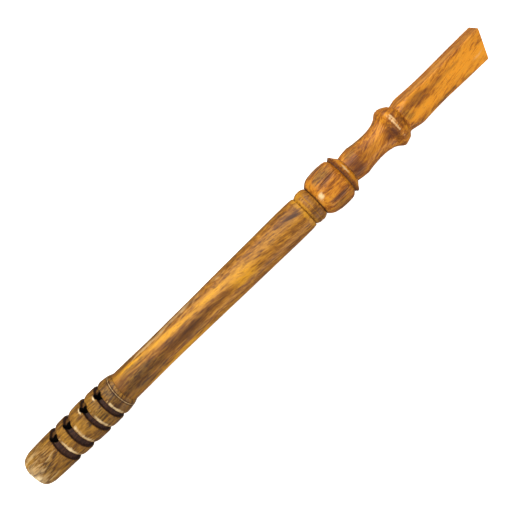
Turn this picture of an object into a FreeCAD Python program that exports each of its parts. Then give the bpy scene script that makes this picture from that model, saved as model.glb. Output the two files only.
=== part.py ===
"""A small wooden didgeridoo-style pipe, turned and carved in sections.

The pipe lies on a table along X, its foot at -X and its slanted mouth at +X, resting on one flat
panel of the carved bulb. Every section is bored through and joined by a lapped tenon in a socket.
Lengths along the pipe are measured from the foot's end face; the origin is the middle of the
space that the pipe takes up, on the table.
"""
import FreeCAD, Part
import math
import os
import Sketcher

doc = FreeCAD.newDocument("Pipe")
sheet = doc.addObject("Spreadsheet::Sheet", "Dims")

DIMENSIONS = {
    # the whole pipe
    "total_length": 639.0,
    "bore_radius": 9.0,
    "axis_height": 23.9,
    "glue_gap": 0.05,
    "running_gap": 0.05,
    "edge_round": 0.6,
    # foot joint: a barrel and four lands, parted by four grooves
    "foot_end_radius": 18.0,
    "foot_swell_length": 10.0,
    "foot_swell_radius": 20.2,
    "foot_swell_curve": 24.0,
    "foot_rim_round": 1.4,
    "land_start": 38.6,
    "land_start_radius": 21.0,
    "land_middle": 80.0,
    "land_radius": 21.7,
    "land_last": 113.0,
    "land_last_radius": 20.9,
    "foot_joint_end": 123.3,
    "foot_joint_end_radius": 18.1,
    "foot_joint_end_curve": 13.0,
    "groove_floor_radius": 16.9,
    "groove_1_start": 38.6,
    "groove_1_width": 6.9,
    "groove_2_start": 57.3,
    "groove_2_width": 6.8,
    "groove_3_start": 81.4,
    "groove_3_width": 5.2,
    "groove_4_start": 100.5,
    "groove_4_width": 5.5,
    "shoulder_round": 3.0,
    "score_start": 118.2,
    "score_width": 0.8,
    "score_floor_radius": 18.9,
    "vent_radius": 4.5,
    "vent_turn": 50.0,
    "vent_shift": 0.4,
    # main tube
    "tube_waist_start_radius": 17.8,
    "tube_waist_end": 237.0,
    "tube_waist_end_radius": 17.5,
    "tube_waist_curve": 2500.0,
    "tube_crown": 341.0,
    "tube_crown_radius": 18.9,
    "tube_crown_curve": 1500.0,
    "tube_end": 381.2,
    "tube_end_radius": 18.3,
    "tube_end_round": 1.2,
    # the tenons on the main tube, and the thread wound on them
    "foot_tenon_start": 108.6,
    "foot_socket_start": 108.2,
    "tenon_radius": 12.9,
    "tenon_round": 0.8,
    "lapping_length": 9.0,
    "lapping_inner_radius": 12.1,
    "lapping_outer_radius": 13.05,
    "socket_radius": 13.1,
    "foot_lapping_start": 111.4,
    "head_tenon_end": 414.6,
    "head_socket_end": 415.0,
    "head_lapping_start": 402.4,
    # neck ring
    "stub_radius": 14.2,
    "ring_start": 382.0,
    "ring_start_radius": 17.6,
    "ring_crown": 390.4,
    "ring_crown_radius": 19.3,
    "ring_curve": 11.0,
    "ring_end": 396.6,
    "ring_end_radius": 17.2,
    # carved bulb
    "bulb_start": 397.2,
    "bulb_start_radius": 18.0,
    "bulb_shoulder": 406.5,
    "bulb_shoulder_radius": 23.3,
    "bulb_shoulder_curve": 15.0,
    "bulb_crown_end": 427.0,
    "bulb_crown_end_radius": 24.4,
    "bulb_crown_curve": 60.0,
    "bulb_end": 433.0,
    "bulb_end_radius": 21.2,
    "bulb_end_curve": 9.0,
    "panel_count": 8,
    "panel_start_height": 21.4,
    "panel_end_height": 22.7,
    "panel_curve": 96.0,
    "panel_width": 40.0,
    "panel_clearance_height": 30.0,
    "bulb_socket_start": 420.5,
    # flange ring
    "flange_start": 433.4,
    "flange_start_radius": 21.4,
    "flange_rim": 435.8,
    "flange_rim_radius": 22.6,
    "flange_step": 438.8,
    "flange_step_radius": 19.5,
    "flange_end": 442.6,
    "flange_end_radius": 15.4,
    # baluster neck
    "neck_start": 442.8,
    "neck_start_radius": 15.2,
    "neck_swell": 456.8,
    "neck_swell_radius": 16.9,
    "neck_swell_curve": 60.0,
    "neck_waist_end": 497.5,
    "neck_waist_end_radius": 18.4,
    "neck_waist_curve": 65.0,
    "neck_tenon_radius": 12.2,
    "neck_tenon_start": 420.9,
    "neck_tenon_end": 529.6,
    # collar plate
    "collar_start": 497.7,
    "collar_start_radius": 18.4,
    "collar_rim": 505.7,
    "collar_rim_radius": 24.0,
    "collar_end": 518.0,
    "collar_end_radius": 18.2,
    "collar_sides": 8,
    # mouth block
    "block_start": 518.2,
    "block_side": 30.6,
    "block_turn": 6.0,
    "block_edge_round": 1.8,
    "block_socket_end": 530.0,
    "mouth_centre": 630.91,
    "mouth_slant": -22.0,
    "mouth_skew": 58.2,
}

for row, (alias, value) in enumerate(DIMENSIONS.items(), start=1):
    cell = "A%d" % row
    sheet.set(cell, str(value))
    sheet.setAlias(cell, alias)
doc.recompute()


def size(expression):
    """Return the number that an expression over the sheet's names gives."""
    return float(sheet.evalExpression(expression))


def origin_feature(body, role):
    """Return the body's own origin plane or axis with this role."""
    for feature in body.Origin.OriginFeatures:
        if feature.Role == role:
            return feature
    raise ValueError("no origin feature " + role)


def new_body(label):
    """Start a sub-part whose own X axis is the pipe's axis, laid at its height over the table."""
    body = doc.addObject("PartDesign::Body", label)
    body.Label = label
    body.setExpression("Placement.Base.x", "-Dims.total_length / 2")
    body.setExpression("Placement.Base.z", "Dims.axis_height")
    return body


def new_sketch(body, name, role):
    """Add a sketch on one of the body's own origin planes."""
    sketch = body.newObject("Sketcher::SketchObject", name)
    sketch.AttachmentSupport = [(origin_feature(body, role), "")]
    sketch.MapMode = "FlatFace"
    return sketch


def fix_coordinate(sketch, kind, edge, end, expression):
    """Hold one coordinate of an edge's end at the value of an expression."""
    value = size(expression)
    if value == 0.0:
        axis = -2 if kind == "DistanceX" else -1
        sketch.addConstraint(Sketcher.Constraint("PointOnObject", edge, end, axis))
        return
    constraint = Sketcher.Constraint(kind, -1, 1, edge, end, value)
    index = sketch.addConstraint(constraint)
    sketch.setExpression("Constraints[%d]" % index, expression)


def arc_between(start, end, radius, bulges_out):
    """Return the short arc of this radius from start to end, bulging off the axis or towards it."""
    chord = end.sub(start)
    middle = start.add(end).multiply(0.5)
    rise = math.sqrt(radius ** 2 - (chord.Length / 2) ** 2)
    across = FreeCAD.Vector(-chord.y, chord.x, 0).normalize()
    if (across.y > 0) == bulges_out:
        across = across.multiply(-1)
    centre = middle.add(FreeCAD.Vector(across).multiply(rise))
    crest = centre.sub(FreeCAD.Vector(across).multiply(radius))
    return Part.Arc(start, crest, end)


def closed_outline(sketch, corners, curves=None):
    """Draw a closed outline through corners given as pairs of expressions.

    curves maps the number of an edge to its radius expression and whether it bulges outwards;
    every other edge is straight.
    """
    curves = curves or {}
    points = [FreeCAD.Vector(size(along), size(across), 0) for along, across in corners]
    ends = []
    for number, start in enumerate(points):
        end = points[(number + 1) % len(points)]
        if number in curves:
            radius, bulges_out = curves[number]
            arc = arc_between(start, end, size(radius), bulges_out)
            edge = sketch.addGeometry(arc, False)
            drawn_start = sketch.getPoint(edge, 1)
            reversed_arc = drawn_start.distanceToPoint(start) > drawn_start.distanceToPoint(end)
            ends.append((edge, 2 if reversed_arc else 1, 1 if reversed_arc else 2))
            index = sketch.addConstraint(Sketcher.Constraint("Radius", edge, size(radius)))
            sketch.setExpression("Constraints[%d]" % index, radius)
        else:
            edge = sketch.addGeometry(Part.LineSegment(start, end), False)
            ends.append((edge, 1, 2))
    for number, (edge, first, last) in enumerate(ends):
        following, following_first, _ = ends[(number + 1) % len(ends)]
        sketch.addConstraint(
            Sketcher.Constraint("Coincident", edge, last, following, following_first))
        along, across = corners[number]
        fix_coordinate(sketch, "DistanceX", edge, first, along)
        fix_coordinate(sketch, "DistanceY", edge, first, across)


def turned(body, name, corners, curves=None):
    """Turn a closed outline once round the pipe's axis."""
    sketch = new_sketch(body, name + "_outline", "XZ_Plane")
    closed_outline(sketch, corners, curves)
    turning = body.newObject("PartDesign::Revolution", name)
    turning.Profile = sketch
    turning.ReferenceAxis = (sketch, ["H_Axis"])
    turning.Angle = 360.0
    doc.recompute()
    return turning


def turned_groove(body, name, corners):
    """Cut a closed outline away all round the pipe's axis, and check that it cut something."""
    before = body.Shape.Volume
    sketch = new_sketch(body, name + "_outline", "XZ_Plane")
    closed_outline(sketch, corners)
    groove = body.newObject("PartDesign::Groove", name)
    groove.Profile = sketch
    groove.ReferenceAxis = (sketch, ["H_Axis"])
    groove.Angle = 360.0
    doc.recompute()
    if body.Shape.Volume >= before:
        raise ValueError(name + " cut nothing")
    return groove


def ring_edges(body, along, least_radius):
    """Name the full circles of the body that lie at this place along the axis."""
    names = []
    for number, edge in enumerate(body.Tip.Shape.Edges, start=1):
        curve = edge.Curve
        if not isinstance(curve, Part.Circle):
            continue
        if abs(curve.Center.x - along) < 0.01 and curve.Radius > least_radius:
            names.append("Edge%d" % number)
    return names


def eased(body, name, edges, radius):
    """Round the named edges of the body's latest feature."""
    if not edges:
        raise ValueError(name + " found no edge")
    latest = body.Tip
    fillet = body.newObject("PartDesign::Fillet", name)
    fillet.Base = (latest, edges)
    fillet.setExpression("Radius", radius)
    doc.recompute()
    return fillet


def pocketed(body, name, sketch, length, midplane=False, reverse=False):
    """Cut a sketch into the body, and check that it cut something."""
    before = body.Shape.Volume
    pocket = body.newObject("PartDesign::Pocket", name)
    pocket.Profile = sketch
    pocket.setExpression("Length", length)
    pocket.Midplane = midplane
    pocket.Reversed = reverse
    doc.recompute()
    if body.Shape.Volume >= before:
        raise ValueError(name + " cut nothing")
    return pocket


def make_foot_joint():
    """The foot: a bored barrel with four grooved vents, and the socket for the main tube."""
    body = new_body("foot_joint")
    turned(body, "foot_blank", [
        ("0 * Dims.bore_radius", "Dims.bore_radius"),
        ("Dims.foot_socket_start", "Dims.bore_radius"),
        ("Dims.foot_socket_start", "Dims.socket_radius"),
        ("Dims.foot_joint_end", "Dims.socket_radius"),
        ("Dims.foot_joint_end", "Dims.foot_joint_end_radius"),
        ("Dims.land_last", "Dims.land_last_radius"),
        ("Dims.land_middle", "Dims.land_radius"),
        ("Dims.land_start", "Dims.land_start_radius"),
        ("Dims.foot_swell_length", "Dims.foot_swell_radius"),
        ("0 * Dims.bore_radius", "Dims.foot_end_radius"),
    ], {
        4: ("Dims.foot_joint_end_curve", True),
        8: ("Dims.foot_swell_curve", True),
    })
    for number in range(1, 5):
        start = "Dims.groove_%d_start" % number
        end = start + " + Dims.groove_%d_width" % number
        outside = "Dims.land_radius + Dims.bore_radius"
        turned_groove(body, "vent_groove_%d" % number, [
            (start, "Dims.groove_floor_radius"),
            (end, "Dims.groove_floor_radius"),
            (end, outside),
            (start, outside),
        ])
    score_end = "Dims.score_start + Dims.score_width"
    turned_groove(body, "score_line", [
        ("Dims.score_start + Dims.score_width / 2", "Dims.score_floor_radius"),
        (score_end, "Dims.land_radius"),
        ("Dims.score_start", "Dims.land_radius"),
    ])
    for number in range(1, 5):
        shoulder = size("Dims.groove_%d_start + Dims.groove_%d_width" % (number, number))
        edges = ring_edges(body, shoulder, size("Dims.groove_floor_radius") + 1)
        eased(body, "shoulder_%d" % number, edges, "Dims.shoulder_round")
    for number in range(1, 5):
        lip = size("Dims.groove_%d_start" % number)
        edges = ring_edges(body, lip, size("Dims.groove_floor_radius") + 1)
        eased(body, "lip_%d" % number, edges, "Dims.edge_round")
    rim = ring_edges(body, 0.0, size("Dims.bore_radius") + 1)
    eased(body, "foot_rim", rim, "Dims.foot_rim_round")
    vents = new_sketch(body, "vent_circles", "XY_Plane")
    turn = FreeCAD.Rotation(FreeCAD.Vector(1, 0, 0), -size("Dims.vent_turn"))
    vents.AttachmentOffset = FreeCAD.Placement(FreeCAD.Vector(0, 0, 0), turn)
    for number in range(1, 5):
        middle = "Dims.groove_%d_start + Dims.groove_%d_width / 2" % (number, number)
        middle = middle + " + Dims.vent_shift"
        centre = FreeCAD.Vector(size(middle), 0, 0)
        circle = Part.Circle(centre, FreeCAD.Vector(0, 0, 1), size("Dims.vent_radius"))
        edge = vents.addGeometry(circle, False)
        vents.addConstraint(Sketcher.Constraint("PointOnObject", edge, 3, -1))
        index = vents.addConstraint(
            Sketcher.Constraint("DistanceX", -1, 1, edge, 3, size(middle)))
        vents.setExpression("Constraints[%d]" % index, middle)
        index = vents.addConstraint(Sketcher.Constraint("Radius", edge, size("Dims.vent_radius")))
        vents.setExpression("Constraints[%d]" % index, "Dims.vent_radius")
    pocketed(body, "vents", vents, "Dims.land_radius + Dims.bore_radius", reverse=True)
    return body


def make_main_tube():
    """The long tube, with a lapped tenon at its foot end and a stub and tenon at its head end."""
    body = new_body("main_tube")
    turned(body, "tube_blank", [
        ("Dims.foot_tenon_start", "Dims.bore_radius"),
        ("Dims.head_tenon_end", "Dims.bore_radius"),
        ("Dims.head_tenon_end", "Dims.tenon_radius"),
        ("Dims.ring_end - Dims.running_gap", "Dims.tenon_radius"),
        ("Dims.ring_end - Dims.running_gap", "Dims.stub_radius"),
        ("Dims.tube_end", "Dims.stub_radius"),
        ("Dims.tube_end", "Dims.tube_end_radius"),
        ("Dims.tube_crown", "Dims.tube_crown_radius"),
        ("Dims.tube_waist_end", "Dims.tube_waist_end_radius"),
        ("Dims.foot_joint_end + Dims.running_gap", "Dims.tube_waist_start_radius"),
        ("Dims.foot_joint_end + Dims.running_gap", "Dims.tenon_radius"),
        ("Dims.foot_tenon_start", "Dims.tenon_radius"),
    ], {
        6: ("Dims.tube_crown_curve", True),
        8: ("Dims.tube_waist_curve", False),
    })
    for name, start in (("foot", "Dims.foot_lapping_start"), ("head", "Dims.head_lapping_start")):
        end = start + " + Dims.lapping_length"
        outside = "Dims.tenon_radius + Dims.bore_radius"
        turned_groove(body, name + "_lapping_bed", [
            (start, "Dims.lapping_inner_radius"),
            (end, "Dims.lapping_inner_radius"),
            (end, outside),
            (start, outside),
        ])
    end_rim = ring_edges(body, size("Dims.tube_end"), size("Dims.stub_radius") + 1)
    eased(body, "tube_end_rim", end_rim, "Dims.tube_end_round")
    for name in ("foot_tenon_start", "head_tenon_end"):
        tip = ring_edges(body, size("Dims." + name), size("Dims.bore_radius") + 1)
        eased(body, name + "_rim", tip, "Dims.tenon_round")
    return body


def make_lapping(label, start):
    """A winding of waxed thread in its bed on a tenon, as one ring of thread."""
    body = new_body(label)
    first = start + " + Dims.running_gap"
    last = start + " + Dims.lapping_length - Dims.running_gap"
    inner = "Dims.lapping_inner_radius + Dims.running_gap"
    turned(body, label + "_ring", [
        (first, inner),
        (last, inner),
        (last, "Dims.lapping_outer_radius"),
        (first, "Dims.lapping_outer_radius"),
    ])
    return body


def make_neck_ring():
    """The bead that caps the head end of the main tube, glued on its stub."""
    body = new_body("neck_ring")
    bore = "Dims.stub_radius + Dims.glue_gap"
    turned(body, "ring_bead", [
        ("Dims.tube_end + Dims.glue_gap", bore),
        ("Dims.ring_end", bore),
        ("Dims.ring_end", "Dims.ring_end_radius"),
        ("Dims.ring_crown", "Dims.ring_crown_radius"),
        ("Dims.ring_start", "Dims.ring_start_radius"),
        ("Dims.tube_end + Dims.glue_gap", "Dims.ring_start_radius - Dims.edge_round"),
    ], {
        2: ("Dims.ring_curve", True),
        3: ("Dims.ring_curve", True),
    })
    return body


def make_bulb():
    """The barrel-shaped bulb, carved with long panels, with a socket at each end."""
    body = new_body("bulb")
    neck_socket = "Dims.neck_tenon_radius + Dims.glue_gap"
    turned(body, "bulb_blank", [
        ("Dims.bulb_start", "Dims.socket_radius"),
        ("Dims.head_socket_end", "Dims.socket_radius"),
        ("Dims.head_socket_end", "Dims.bore_radius"),
        ("Dims.bulb_socket_start", "Dims.bore_radius"),
        ("Dims.bulb_socket_start", neck_socket),
        ("Dims.bulb_end", neck_socket),
        ("Dims.bulb_end", "Dims.bulb_end_radius"),
        ("Dims.bulb_crown_end", "Dims.bulb_crown_end_radius"),
        ("Dims.bulb_shoulder", "Dims.bulb_shoulder_radius"),
        ("Dims.bulb_start", "Dims.bulb_start_radius"),
    ], {
        6: ("Dims.bulb_end_curve", True),
        7: ("Dims.bulb_crown_curve", True),
        8: ("Dims.bulb_shoulder_curve", True),
    })
    blank_volume = body.Shape.Volume
    sketch = new_sketch(body, "panel_outline", "XZ_Plane")
    closed_outline(sketch, [
        ("Dims.bulb_start - Dims.edge_round", "Dims.panel_start_height"),
        ("Dims.bulb_end + Dims.edge_round", "Dims.panel_end_height"),
        ("Dims.bulb_end + Dims.edge_round", "Dims.panel_clearance_height"),
        ("Dims.bulb_start - Dims.edge_round", "Dims.panel_clearance_height"),
    ], {
        0: ("Dims.panel_curve", True),
    })
    panel = pocketed(body, "panel", sketch, "Dims.panel_width", midplane=True)
    panels = body.newObject("PartDesign::PolarPattern", "panels")
    panels.Originals = [panel]
    panels.Axis = (origin_feature(body, "X_Axis"), [""])
    panels.Angle = 360.0
    panels.setExpression("Occurrences", "Dims.panel_count")
    body.Tip = panels
    doc.recompute()
    if body.Shape.Volume >= blank_volume:
        raise ValueError("the bulb has no panels")
    return body


def make_flange_ring():
    """The thin flange between the bulb and the neck, threaded on the neck's tenon."""
    body = new_body("flange_ring")
    bore = "Dims.neck_tenon_radius + Dims.glue_gap"
    turned(body, "flange", [
        ("Dims.flange_start", bore),
        ("Dims.flange_end", bore),
        ("Dims.flange_end", "Dims.flange_end_radius"),
        ("Dims.flange_step", "Dims.flange_step_radius"),
        ("Dims.flange_rim", "Dims.flange_rim_radius"),
        ("Dims.flange_start", "Dims.flange_start_radius"),
    ])
    return body


def make_head_neck():
    """The baluster neck, with a tenon down into the bulb and another up into the mouth block."""
    body = new_body("head_neck")
    turned(body, "neck_blank", [
        ("Dims.neck_tenon_start", "Dims.bore_radius"),
        ("Dims.neck_tenon_end", "Dims.bore_radius"),
        ("Dims.neck_tenon_end", "Dims.neck_tenon_radius"),
        ("Dims.neck_waist_end", "Dims.neck_tenon_radius"),
        ("Dims.neck_waist_end", "Dims.neck_waist_end_radius"),
        ("Dims.neck_swell", "Dims.neck_swell_radius"),
        ("Dims.neck_start", "Dims.neck_start_radius"),
        ("Dims.neck_start", "Dims.neck_tenon_radius"),
        ("Dims.neck_tenon_start", "Dims.neck_tenon_radius"),
    ], {
        4: ("Dims.neck_waist_curve", False),
        5: ("Dims.neck_swell_curve", True),
    })
    return body


def polygon_sketch(body, name, offset, radius, sides):
    """Draw a regular polygon across the axis, a flat side uppermost, at an offset along it."""
    sketch = new_sketch(body, name, "YZ_Plane")
    sketch.setExpression("AttachmentOffset.Base.z", offset)
    count = int(size(sides))
    reach = size(radius)
    corners = []
    for number in range(count):
        angle = math.pi * (2 * number + 1) / count
        corners.append(FreeCAD.Vector(reach * math.sin(angle), reach * math.cos(angle), 0))
    circle = sketch.addGeometry(Part.Circle(FreeCAD.Vector(), FreeCAD.Vector(0, 0, 1), reach), True)
    sketch.addConstraint(Sketcher.Constraint("Coincident", circle, 3, -1, 1))
    index = sketch.addConstraint(Sketcher.Constraint("Radius", circle, reach))
    sketch.setExpression("Constraints[%d]" % index, radius)
    lines = []
    for number, corner in enumerate(corners):
        following = corners[(number + 1) % count]
        lines.append(sketch.addGeometry(Part.LineSegment(corner, following), False))
    for number, line in enumerate(lines):
        following = lines[(number + 1) % count]
        sketch.addConstraint(Sketcher.Constraint("Coincident", line, 2, following, 1))
        sketch.addConstraint(Sketcher.Constraint("PointOnObject", line, 1, circle))
        if number > 0:
            sketch.addConstraint(Sketcher.Constraint("Equal", lines[0], line))
    sketch.addConstraint(Sketcher.Constraint("Horizontal", lines[-1]))
    return sketch


def make_head_collar():
    """The eight-sided collar plate, thick at its middle and thinned to an edge all round."""
    body = new_body("head_collar")
    sections = []
    for name in ("start", "rim", "end"):
        sections.append(polygon_sketch(
            body, "collar_" + name, "Dims.collar_" + name,
            "Dims.collar_%s_radius" % name, "Dims.collar_sides"))
    loft = body.newObject("PartDesign::AdditiveLoft", "collar_plate")
    loft.Profile = sections[0]
    loft.Sections = sections[1:]
    loft.Ruled = True
    doc.recompute()
    bore = "Dims.neck_tenon_radius + Dims.glue_gap"
    turned_groove(body, "collar_bore", [
        ("Dims.collar_start - Dims.edge_round", "0 * Dims.bore_radius"),
        ("Dims.collar_end + Dims.edge_round", "0 * Dims.bore_radius"),
        ("Dims.collar_end + Dims.edge_round", bore),
        ("Dims.collar_start - Dims.edge_round", bore),
    ])
    return body


def make_mouth_block():
    """The square mouth block, bored through and cut on the skew at its mouth."""
    body = new_body("mouth_block")
    sketch = new_sketch(body, "block_square", "YZ_Plane")
    twist = FreeCAD.Rotation(FreeCAD.Vector(0, 0, 1), size("Dims.block_turn"))
    sketch.AttachmentOffset = FreeCAD.Placement(FreeCAD.Vector(0, 0, size("Dims.block_start")), twist)
    sketch.setExpression("AttachmentOffset.Base.z", "Dims.block_start")
    half = size("Dims.block_side / 2")
    corners = [(-half, -half), (half, -half), (half, half), (-half, half)]
    for number, (across, up) in enumerate(corners):
        following = corners[(number + 1) % len(corners)]
        start = FreeCAD.Vector(across, up, 0)
        end = FreeCAD.Vector(following[0], following[1], 0)
        sketch.addGeometry(Part.LineSegment(start, end), False)
    for number in range(len(corners)):
        following = (number + 1) % len(corners)
        sketch.addConstraint(Sketcher.Constraint("Coincident", number, 2, following, 1))
        kind = "Horizontal" if number % 2 == 0 else "Vertical"
        sketch.addConstraint(Sketcher.Constraint(kind, number))
    sketch.addConstraint(Sketcher.Constraint("Symmetric", 0, 1, 2, 1, -1, 1))
    for kind, edge in (("DistanceX", 0), ("DistanceY", 1)):
        index = sketch.addConstraint(
            Sketcher.Constraint(kind, edge, 1, edge, 2, size("Dims.block_side")))
        sketch.setExpression("Constraints[%d]" % index, "Dims.block_side")
    pad = body.newObject("PartDesign::Pad", "block_bar")
    pad.Profile = sketch
    pad.setExpression("Length", "Dims.total_length - Dims.block_start + Dims.block_side")
    doc.recompute()
    long_edges = []
    for number, edge in enumerate(pad.Shape.Edges, start=1):
        if abs(edge.tangentAt(edge.FirstParameter).x) > 0.99:
            long_edges.append("Edge%d" % number)
    eased(body, "block_edges", long_edges, "Dims.block_edge_round")
    slant = new_sketch(body, "mouth_plane", "YZ_Plane")
    lean = math.radians(size("Dims.mouth_skew"))
    hinge = FreeCAD.Vector(math.cos(lean), math.sin(lean), 0)
    skew = FreeCAD.Rotation(hinge, size("Dims.mouth_slant"))
    slant.AttachmentOffset = FreeCAD.Placement(
        FreeCAD.Vector(0, 0, size("Dims.mouth_centre")), skew)
    slant.setExpression("AttachmentOffset.Base.z", "Dims.mouth_centre")
    reach = Part.Circle(FreeCAD.Vector(), FreeCAD.Vector(0, 0, 1), size("Dims.block_side * 2"))
    slant.addGeometry(reach, False)
    slant.addConstraint(Sketcher.Constraint("Coincident", 0, 3, -1, 1))
    index = slant.addConstraint(Sketcher.Constraint("Radius", 0, size("Dims.block_side * 2")))
    slant.setExpression("Constraints[%d]" % index, "Dims.block_side * 2")
    pocketed(body, "mouth_cut", slant, "Dims.block_side * 3", reverse=True)
    mouth_edges = []
    for number, edge in enumerate(body.Tip.Shape.Edges, start=1):
        if edge.CenterOfMass.x > size("Dims.mouth_centre - Dims.block_side / 2"):
            if abs(edge.tangentAt(edge.FirstParameter).x) < 0.9:
                mouth_edges.append("Edge%d" % number)
    eased(body, "mouth_edges", mouth_edges, "Dims.edge_round")
    turned_groove(body, "block_bore", [
        ("Dims.block_start - Dims.edge_round", "0 * Dims.bore_radius"),
        ("Dims.total_length + Dims.block_side", "0 * Dims.bore_radius"),
        ("Dims.total_length + Dims.block_side", "Dims.bore_radius"),
        ("Dims.block_socket_end", "Dims.bore_radius"),
        ("Dims.block_socket_end", "Dims.neck_tenon_radius + Dims.glue_gap"),
        ("Dims.block_start - Dims.edge_round", "Dims.neck_tenon_radius + Dims.glue_gap"),
    ])
    return body


parts = [
    make_foot_joint(),
    make_main_tube(),
    make_lapping("foot_lapping", "Dims.foot_lapping_start"),
    make_lapping("head_lapping", "Dims.head_lapping_start"),
    make_neck_ring(),
    make_bulb(),
    make_flange_ring(),
    make_head_neck(),
    make_head_collar(),
    make_mouth_block(),
]
doc.recompute()

for item in doc.Objects:
    if "Invalid" in item.State or "Error" in item.State:
        raise ValueError("%s failed: %s" % (item.Name, item.State))
for part in parts:
    if part.Shape.isNull() or not part.Shape.isValid():
        raise ValueError(part.Label + " has no valid shape")
    if len(part.Shape.Solids) != 1:
        raise ValueError(part.Label + " is not one solid")

os.makedirs("parts", exist_ok=True)
for part in parts:
    part.Shape.exportStep(os.path.join("parts", part.Label + ".step"))
    box = part.Shape.BoundBox
    print("%-14s volume %9.1f mm3  x %7.1f %7.1f  z %6.2f %6.2f" % (
        part.Label, part.Shape.Volume, box.XMin, box.XMax, box.ZMin, box.ZMax))
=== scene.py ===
"""The looks of the wooden pipe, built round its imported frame.

Stations are millimetres along the pipe from the foot's end face and radii are millimetres from
its axis, as in the part's source. Angles are degrees round the axis, from straight up (+Z)
towards +Y. Everything handed to Blender is in metres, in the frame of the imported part.
"""

import math

import bmesh
import bpy
import numpy as np
from mathutils import Matrix, Vector


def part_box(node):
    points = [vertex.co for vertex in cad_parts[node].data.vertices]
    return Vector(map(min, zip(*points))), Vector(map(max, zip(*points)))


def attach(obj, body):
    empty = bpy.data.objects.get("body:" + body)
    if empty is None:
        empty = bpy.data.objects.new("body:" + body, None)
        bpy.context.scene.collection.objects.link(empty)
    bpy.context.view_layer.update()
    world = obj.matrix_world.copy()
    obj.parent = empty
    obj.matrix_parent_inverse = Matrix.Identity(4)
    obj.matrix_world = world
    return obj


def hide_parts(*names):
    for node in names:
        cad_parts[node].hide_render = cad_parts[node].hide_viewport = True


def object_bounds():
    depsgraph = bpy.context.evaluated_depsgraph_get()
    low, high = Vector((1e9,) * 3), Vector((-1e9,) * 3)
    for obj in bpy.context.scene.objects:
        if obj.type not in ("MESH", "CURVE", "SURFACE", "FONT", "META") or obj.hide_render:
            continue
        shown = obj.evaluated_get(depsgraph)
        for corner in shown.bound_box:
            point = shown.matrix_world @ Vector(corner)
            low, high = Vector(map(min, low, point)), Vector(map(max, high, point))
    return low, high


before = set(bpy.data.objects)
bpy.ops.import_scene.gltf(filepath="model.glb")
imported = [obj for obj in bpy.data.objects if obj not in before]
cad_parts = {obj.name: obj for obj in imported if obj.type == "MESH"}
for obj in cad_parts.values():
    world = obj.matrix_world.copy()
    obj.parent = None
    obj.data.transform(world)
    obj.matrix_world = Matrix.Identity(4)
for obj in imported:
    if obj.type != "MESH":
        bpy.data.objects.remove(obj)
CAD_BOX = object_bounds()

MM = 0.001
FOOT_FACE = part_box("foot_joint")[0].x
AXIS_HEIGHT = (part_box("flange_ring")[0].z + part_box("flange_ring")[1].z) / 2

# stations where one piece ends and the next begins
FOOT_END = 123.3
TUBE_SHOULDER = 381.2
RING_END = 396.6
BULB_START = 397.2
TUBE_END = 414.6
BULB_END = 433.0
FLANGE_END = 442.6
NECK_END = 497.6
COLLAR_RIM = 505.7
BLOCK_START = 518.2
SPIGOT_ENDS = (420.9, 529.6)
FOOT_THREAD = 111.4
HEAD_THREAD = 402.4
THREAD_LENGTH = 9.0

# radii where one piece fits into another
BORE = 9.0
THREAD_SEAT = 12.1
TENON = 12.9
SOCKET = 13.1
SPIGOT = 12.2
SPIGOT_HOLE = 12.25
STUB = 14.2
RING_HOLE = 14.25

FAR_OUT = 99.0  # a radius beyond every piece
FACET_REACH = 0.9  # radians either side of its middle in which a facet can cut
BORE_STEP = 6.0  # the spacing of points along the plain bore


# ---------------------------------------------------------------- shapes

def hashed(cell, seed):
    """A number from -1 to 1 for each lattice cell, the same on every run."""
    mixed = (cell[..., 0] * 73856093) ^ (cell[..., 1] * 19349663) ^ (cell[..., 2] * 83492791)
    mixed = (mixed ^ (seed * 15485863)) & 0x7FFFFFFF
    mixed = ((mixed ^ (mixed >> 13)) * 1274126177) & 0x7FFFFFFF
    mixed = mixed ^ (mixed >> 15)
    return (mixed & 0xFFFF) / 32767.5 - 1.0


def noise(along, radius, angle, scale, seed, stretch=1.0):
    """Smooth value noise from -1 to 1 on the pipe's surface, its cells scale millimetres wide."""
    spots = np.stack([along / (scale * stretch), radius * np.sin(angle) / scale,
                      radius * np.cos(angle) / scale], axis=-1)
    cell = np.floor(spots).astype(np.int64)
    part = spots - cell
    part = part * part * (3 - 2 * part)
    total = np.zeros(along.shape)
    for corner in range(8):
        step = np.array([corner & 1, corner >> 1 & 1, corner >> 2 & 1])
        weight = np.prod(np.where(step == 1, part, 1 - part), axis=-1)
        total += weight * hashed(cell + step, seed)
    return total


def softened_minimum(a, b, width):
    """The smaller of a and b, with the corner between them rounded over this width."""
    near = np.maximum(width - np.abs(a - b), 0) / width
    return np.minimum(a, b) - near * near * width / 4


def eased_step(value, low, high):
    """0 below low, 1 above high and smooth between."""
    part = np.clip((value - low) / (high - low), 0, 1)
    return part * part * (3 - 2 * part)


def turn_from(angle, degrees):
    """The signed turn in degrees from a direction round the axis to each angle."""
    return (np.degrees(angle) - degrees + 180.0) % 360.0 - 180.0


def facet_radius(angle, facets):
    """The radius of a section planed flat by facets, each given as (degrees, distance out)."""
    radius = np.full(angle.shape, FAR_OUT)
    for degrees, distance in facets:
        turn = np.radians(turn_from(angle, degrees))
        planed = np.minimum(radius, distance / np.cos(turn))
        radius = np.where(np.abs(turn) < FACET_REACH, planed, radius)
    return radius


def add_object(name, data):
    made = bpy.data.objects.new(name, data)
    bpy.context.scene.collection.objects.link(made)
    return made


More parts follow.
